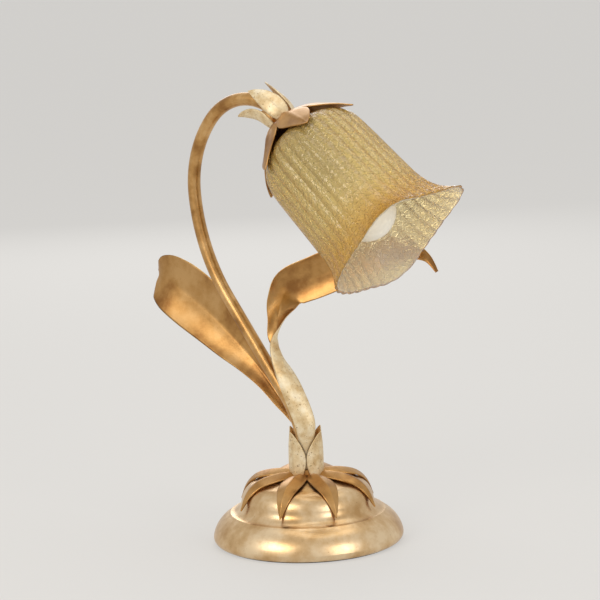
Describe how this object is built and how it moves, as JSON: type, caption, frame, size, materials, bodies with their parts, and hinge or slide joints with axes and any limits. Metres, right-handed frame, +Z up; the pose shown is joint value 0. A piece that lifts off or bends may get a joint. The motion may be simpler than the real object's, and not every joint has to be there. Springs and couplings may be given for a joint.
{
  "type": "table lamp",
  "caption": "Tulip table lamp: a round stepped base, a bent stem with leaves, and a fluted amber glass flower that looks down, held by a threaded ring over a small bulb.",
  "frame": {"origin": "centre of the felt's resting face, on the axis of the round base and of the tube's upright foot", "axes": "+Z is up, +X is the way the flower looks in plan, and +Y completes a right-handed frame, away from the side that the picture shows"},
  "size_m": [0.2927, 0.1505, 0.3536],
  "materials": {
    "felt": "matt felt",
    "cover_steel": "plain grey lacquer",
    "ballast_iron": "raw casting",
    "zinc_steel": "zinc plated",
    "gold_casting": "satin pale gold leaf with light wear",
    "gold_leaf": "satin gold-brown leaf with darker hollows",
    "gold_tube": "satin gold-brown",
    "cream_gilt": "cream over gold, speckled",
    "bushing_plastic": "moulded",
    "block_plastic": "moulded",
    "contact_brass": "plain",
    "cable_sheath": "smooth sheath",
    "holder_plastic": "moulded, dark brown",
    "ceramic": "glazed ceramic",
    "amber_glass": "amber, ribbed and rippled",
    "cap_aluminium": "drawn",
    "cap_insulator": "black glass and a solder point",
    "bulb_glass": "frosted"
  },
  "bodies": {
    "lamp": {"felt_pad": "felt", "bottom_cover": "cover_steel", "base_weight": "ballast_iron", "cover_screws": "zinc_steel", "base_shell": "gold_casting", "base_rosette": "gold_leaf", "foot_calyx": "cream_gilt", "stem_collar": "gold_leaf", "base_washer": "zinc_steel", "base_nut": "zinc_steel", "cord_bushing": "bushing_plastic", "terminal_block": "block_plastic", "terminal_screws": "contact_brass", "inner_cable": "cable_sheath", "stem_tube": "gold_tube", "left_leaf": "gold_leaf", "right_leaf": "gold_leaf", "neck_ferrule": "gold_tube", "neck_calyx": "cream_gilt", "sepal_cup": "gold_leaf", "neck_washer": "zinc_steel", "neck_nut": "zinc_steel", "holder_cap": "holder_plastic", "holder_body": "holder_plastic", "holder_insert": "ceramic", "contact_sleeve": "contact_brass"},
    "shade": {"glass_shade": "amber_glass"},
    "ring": {"shade_ring": "holder_plastic"},
    "contact": {"centre_contact": "contact_brass"},
    "bulb": {"bulb_cap": "cap_aluminium", "bulb_contact": "cap_insulator", "bulb_glass": "bulb_glass"}
  },
  "joints": [
    {"name": "shade_drop", "type": "slide", "parent": "lamp", "child": "shade", "axis": [0.749, 0, -0.6626], "range_m": [0, 0.006]},
    {"name": "ring_turn", "type": "hinge", "parent": "shade", "child": "ring", "pos_m": [0.00776, 0, 0.30695], "axis": [0.749, 0, -0.6626], "range_deg": [0, 1080.3]},
    {"name": "contact_follow", "type": "slide", "parent": "lamp", "child": "contact", "axis": [0.749, 0, -0.6626], "range_m": [0, 0.00142]},
    {"name": "bulb_turn", "type": "hinge", "parent": "contact", "child": "bulb", "pos_m": [0.03457, 0, 0.28323], "axis": [0.749, 0, -0.6626], "range_deg": [0, 180]}
  ],
  "couplings": [
    {"joint": "ring_turn", "follows": "shade_drop", "rad_per_m": 3141.6},
    {"joint": "contact_follow", "follows": "bulb_turn", "m_per_rad": 0.00044882}
  ]
}
